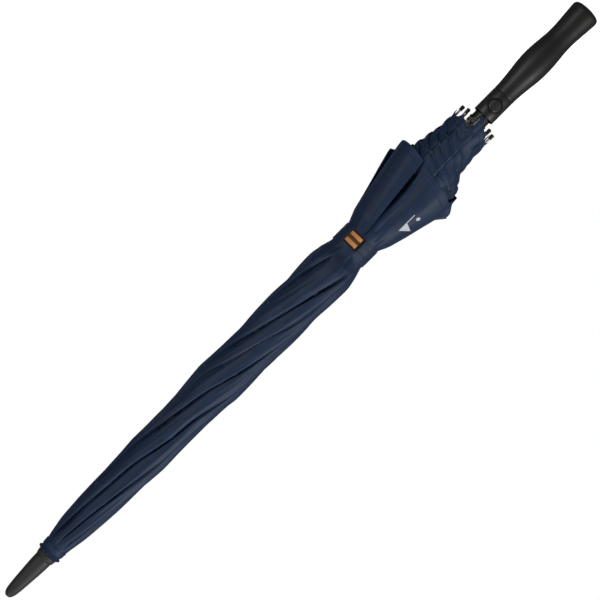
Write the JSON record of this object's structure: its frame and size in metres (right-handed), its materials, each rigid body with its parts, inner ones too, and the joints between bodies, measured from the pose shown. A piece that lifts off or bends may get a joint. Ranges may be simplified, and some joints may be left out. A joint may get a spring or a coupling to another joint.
{
  "type": "golf umbrella",
  "caption": "Straight golf umbrella, rolled and strapped, whose ribs, stretchers and runner open from a push-button grip.",
  "frame": {"origin": "on the shaft's axis, in the middle of the hand grip", "axes": "+Z along the shaft towards the ferrule, as held in use; the push button faces -Y; rib 1 lies towards +X and the ribs are numbered anticlockwise seen from the ferrule"},
  "size_m": [0.106, 0.106, 1],
  "materials": {
    "shaft_enamel": "black enamelled steel tube",
    "grip_rubber": "soft-touch moulded grip, matt charcoal black",
    "handle_plastic": "fine-textured moulded housing",
    "button_plastic": "satin black push button with plain rings",
    "black_plastic": "matt moulded plastic",
    "white_nylon": "natural nylon",
    "tip_plastic": "black moulded rib tip",
    "rib_steel": "plated steel rod",
    "steel": "plated steel",
    "canopy_cloth": "navy woven polyester",
    "strap_cloth": "navy woven polyester, hemmed",
    "tab_cloth": "woven tab, tan and brown stripes with a dark edge",
    "hook_tape": "black hook-and-loop tape"
  },
  "bodies": {
    "shaft_group": {"shaft": "shaft_enamel", "ferrule": "black_plastic", "ferrule_skirt": "black_plastic", "canopy_rosette": "canopy_cloth", "crown": "white_nylon", "crown_wire": "steel", "top_stop": "black_plastic", "spring_seat": "steel", "main_spring": "steel", "handle_grip": "grip_rubber", "handle_core": "black_plastic", "handle_pin": "steel", "button_housing": "handle_plastic", "button_bezel": "handle_plastic", "button_spring": "steel"},
    "button_group": {"button": "button_plastic", "latch_slide": "white_nylon"},
    "runner_group": {"runner": "black_plastic", "runner_wire": "steel", "runner_pin": "steel", "spring_pusher": "white_nylon"},
    "strap_group": {"strap_band": "strap_cloth", "strap_tab": "tab_cloth", "strap_hook_patch": "hook_tape"},
    "rib_1_group": {"rib_1": "rib_steel", "rib_tip_1": "tip_plastic"},
    "stretcher_1_group": {"stretcher_1": "steel"},
    "panel_1_group": {"canopy_panel_1": "canopy_cloth"},
    "rib_2_group": {"rib_2": "rib_steel", "rib_tip_2": "tip_plastic"},
    "stretcher_2_group": {"stretcher_2": "steel"},
    "panel_2_group": {"canopy_panel_2": "canopy_cloth"},
    "rib_3_group": {"rib_3": "rib_steel", "rib_tip_3": "tip_plastic"},
    "stretcher_3_group": {"stretcher_3": "steel"},
    "panel_3_group": {"canopy_panel_3": "canopy_cloth"},
    "rib_4_group": {"rib_4": "rib_steel", "rib_tip_4": "tip_plastic"},
    "stretcher_4_group": {"stretcher_4": "steel"},
    "panel_4_group": {"canopy_panel_4": "canopy_cloth"},
    "rib_5_group": {"rib_5": "rib_steel", "rib_tip_5": "tip_plastic"},
    "stretcher_5_group": {"stretcher_5": "steel"},
    "panel_5_group": {"canopy_panel_5": "canopy_cloth"},
    "rib_6_group": {"rib_6": "rib_steel", "rib_tip_6": "tip_plastic"},
    "stretcher_6_group": {"stretcher_6": "steel"},
    "panel_6_group": {"canopy_panel_6": "canopy_cloth"},
    "rib_7_group": {"rib_7": "rib_steel", "rib_tip_7": "tip_plastic"},
    "stretcher_7_group": {"stretcher_7": "steel"},
    "panel_7_group": {"canopy_panel_7": "canopy_cloth"},
    "rib_8_group": {"rib_8": "rib_steel", "rib_tip_8": "tip_plastic"},
    "stretcher_8_group": {"stretcher_8": "steel"},
    "panel_8_group": {"canopy_panel_8": "canopy_cloth"}
  },
  "joints": [
    {"name": "rib_1_open", "type": "hinge", "parent": "shaft_group", "child": "rib_1_group", "pos_m": [0.0105, 0, 0.83], "axis": [0, -1, 0], "range_deg": [0, 70], "deforming": ["main_spring"]},
    {"name": "stretcher_1_turn", "type": "hinge", "parent": "rib_1_group", "child": "stretcher_1_group", "pos_m": [0.0177, 0, 0.471], "axis": [0, -1, 0], "range_deg": [-140, 0]},
    {"name": "panel_1_fan", "type": "hinge", "parent": "rib_1_group", "child": "panel_1_group", "pos_m": [-0.01341, 0.00081, 0.83075], "axis": [0.9916, 0.1283, 0.0159], "range_deg": [0, 41.64], "deforming": ["canopy_panel_1"]},
    {"name": "rib_2_open", "type": "hinge", "parent": "shaft_group", "child": "rib_2_group", "pos_m": [0.00742, 0.00742, 0.83], "axis": [0.7071, -0.7071, 0], "range_deg": [0, 70]},
    {"name": "stretcher_2_turn", "type": "hinge", "parent": "rib_2_group", "child": "stretcher_2_group", "pos_m": [0.01252, 0.01252, 0.471], "axis": [0.7071, -0.7071, 0], "range_deg": [-140, 0]},
    {"name": "panel_2_fan", "type": "hinge", "parent": "rib_2_group", "child": "panel_2_group", "pos_m": [-0.01005, -0.00891, 0.83075], "axis": [0.6104, 0.7919, 0.0159], "range_deg": [0, 41.64], "deforming": ["canopy_panel_2"]},
    {"name": "rib_3_open", "type": "hinge", "parent": "shaft_group", "child": "rib_3_group", "pos_m": [0, 0.0105, 0.83], "axis": [1, 0, 0], "range_deg": [0, 70]},
    {"name": "stretcher_3_turn", "type": "hinge", "parent": "rib_3_group", "child": "stretcher_3_group", "pos_m": [0, 0.0177, 0.471], "axis": [1, 0, 0], "range_deg": [-140, 0]},
    {"name": "panel_3_fan", "type": "hinge", "parent": "rib_3_group", "child": "panel_3_group", "pos_m": [-0.00081, -0.01341, 0.83075], "axis": [-0.1283, 0.9916, 0.0159], "range_deg": [0, 41.64], "deforming": ["canopy_panel_3"]},
    {"name": "rib_4_open", "type": "hinge", "parent": "shaft_group", "child": "rib_4_group", "pos_m": [-0.00742, 0.00742, 0.83], "axis": [0.7071, 0.7071, 0], "range_deg": [0, 70]},
    {"name": "stretcher_4_turn", "type": "hinge", "parent": "rib_4_group", "child": "stretcher_4_group", "pos_m": [-0.01252, 0.01252, 0.471], "axis": [0.7071, 0.7071, 0], "range_deg": [-140, 0]},
    {"name": "panel_4_fan", "type": "hinge", "parent": "rib_4_group", "child": "panel_4_group", "pos_m": [0.00891, -0.01005, 0.83075], "axis": [-0.7919, 0.6104, 0.0159], "range_deg": [0, 41.64], "deforming": ["canopy_panel_4"]},
    {"name": "rib_5_open", "type": "hinge", "parent": "shaft_group", "child": "rib_5_group", "pos_m": [-0.0105, 0, 0.83], "axis": [0, 1, 0], "range_deg": [0, 70]},
    {"name": "stretcher_5_turn", "type": "hinge", "parent": "rib_5_group", "child": "stretcher_5_group", "pos_m": [-0.0177, 0, 0.471], "axis": [0, 1, 0], "range_deg": [-140, 0]},
    {"name": "panel_5_fan", "type": "hinge", "parent": "rib_5_group", "child": "panel_5_group", "pos_m": [0.01341, -0.00081, 0.83075], "axis": [-0.9916, -0.1283, 0.0159], "range_deg": [0, 41.64], "deforming": ["canopy_panel_5"]},
    {"name": "rib_6_open", "type": "hinge", "parent": "shaft_group", "child": "rib_6_group", "pos_m": [-0.00742, -0.00742, 0.83], "axis": [-0.7071, 0.7071, 0], "range_deg": [0, 70]},
    {"name": "stretcher_6_turn", "type": "hinge", "parent": "rib_6_group", "child": "stretcher_6_group", "pos_m": [-0.01252, -0.01252, 0.471], "axis": [-0.7071, 0.7071, 0], "range_deg": [-140, 0]},
    {"name": "panel_6_fan", "type": "hinge", "parent": "rib_6_group", "child": "panel_6_group", "pos_m": [0.01005, 0.00891, 0.83075], "axis": [-0.6104, -0.7919, 0.0159], "range_deg": [0, 41.64], "deforming": ["canopy_panel_6"]},
    {"name": "rib_7_open", "type": "hinge", "parent": "shaft_group", "child": "rib_7_group", "pos_m": [0, -0.0105, 0.83], "axis": [-1, 0, 0], "range_deg": [0, 70]},
    {"name": "stretcher_7_turn", "type": "hinge", "parent": "rib_7_group", "child": "stretcher_7_group", "pos_m": [0, -0.0177, 0.471], "axis": [-1, 0, 0], "range_deg": [-140, 0]},
    {"name": "panel_7_fan", "type": "hinge", "parent": "rib_7_group", "child": "panel_7_group", "pos_m": [0.00081, 0.01341, 0.83075], "axis": [0.1283, -0.9916, 0.0159], "range_deg": [0, 41.64], "deforming": ["canopy_panel_7"]},
    {"name": "rib_8_open", "type": "hinge", "parent": "shaft_group", "child": "rib_8_group", "pos_m": [0.00742, -0.00742, 0.83], "axis": [-0.7071, -0.7071, 0], "range_deg": [0, 70]},
    {"name": "stretcher_8_turn", "type": "hinge", "parent": "rib_8_group", "child": "stretcher_8_group", "pos_m": [0.01252, -0.01252, 0.471], "axis": [-0.7071, -0.7071, 0], "range_deg": [-140, 0]},
    {"name": "panel_8_fan", "type": "hinge", "parent": "rib_8_group", "child": "panel_8_group", "pos_m": [-0.00891, 0.01005, 0.83075], "axis": [0.7919, -0.6104, 0.0159], "range_deg": [0, 41.64], "deforming": ["canopy_panel_8"]},
    {"name": "runner_ride", "type": "hinge", "parent": "stretcher_1_group", "child": "runner_group", "pos_m": [0.0105, 0, 0.112], "axis": [0, -1, 0], "range_deg": [0, 70]},
    {"name": "strap_unwrap", "type": "hinge", "parent": "rib_3_group", "child": "strap_group", "pos_m": [0, 0.0255, 0.32], "axis": [0, 0, 1], "range_deg": [0, 170.01], "deforming": ["strap_band", "strap_tab", "strap_hook_patch"]},
    {"name": "button_press", "type": "slide", "parent": "shaft_group", "child": "button_group", "axis": [0.1219, 0.9925, 0], "range_m": [0, 0.0016], "stiffness_N_per_m": 600, "springref_m": -0.003, "deforming": ["button_spring"]}
  ],
  "couplings": [
    {"joint": "stretcher_1_turn", "follows": "rib_1_open", "ratio": -2},
    {"joint": "panel_1_fan", "follows": "rib_1_open", "ratio": 0.59452},
    {"joint": "rib_2_open", "follows": "rib_1_open", "ratio": 1},
    {"joint": "stretcher_2_turn", "follows": "rib_1_open", "ratio": -2},
    {"joint": "panel_2_fan", "follows": "rib_1_open", "ratio": 0.59452},
    {"joint": "rib_3_open", "follows": "rib_1_open", "ratio": 1},
    {"joint": "stretcher_3_turn", "follows": "rib_1_open", "ratio": -2},
    {"joint": "panel_3_fan", "follows": "rib_1_open", "ratio": 0.59452},
    {"joint": "rib_4_open", "follows": "rib_1_open", "ratio": 1},
    {"joint": "stretcher_4_turn", "follows": "rib_1_open", "ratio": -2},
    {"joint": "panel_4_fan", "follows": "rib_1_open", "ratio": 0.59452},
    {"joint": "rib_5_open", "follows": "rib_1_open", "ratio": 1},
    {"joint": "stretcher_5_turn", "follows": "rib_1_open", "ratio": -2},
    {"joint": "panel_5_fan", "follows": "rib_1_open", "ratio": 0.59452},
    {"joint": "rib_6_open", "follows": "rib_1_open", "ratio": 1},
    {"joint": "stretcher_6_turn", "follows": "rib_1_open", "ratio": -2},
    {"joint": "panel_6_fan", "follows": "rib_1_open", "ratio": 0.59452},
    {"joint": "rib_7_open", "follows": "rib_1_open", "ratio": 1},
    {"joint": "stretcher_7_turn", "follows": "rib_1_open", "ratio": -2},
    {"joint": "panel_7_fan", "follows": "rib_1_open", "ratio": 0.59452},
    {"joint": "rib_8_open", "follows": "rib_1_open", "ratio": 1},
    {"joint": "stretcher_8_turn", "follows": "rib_1_open", "ratio": -2},
    {"joint": "panel_8_fan", "follows": "rib_1_open", "ratio": 0.59452},
    {"joint": "runner_ride", "follows": "rib_1_open", "ratio": 1},
    {"joint": "strap_unwrap", "follows": "rib_1_open", "ratio": 2.4286}
  ]
}
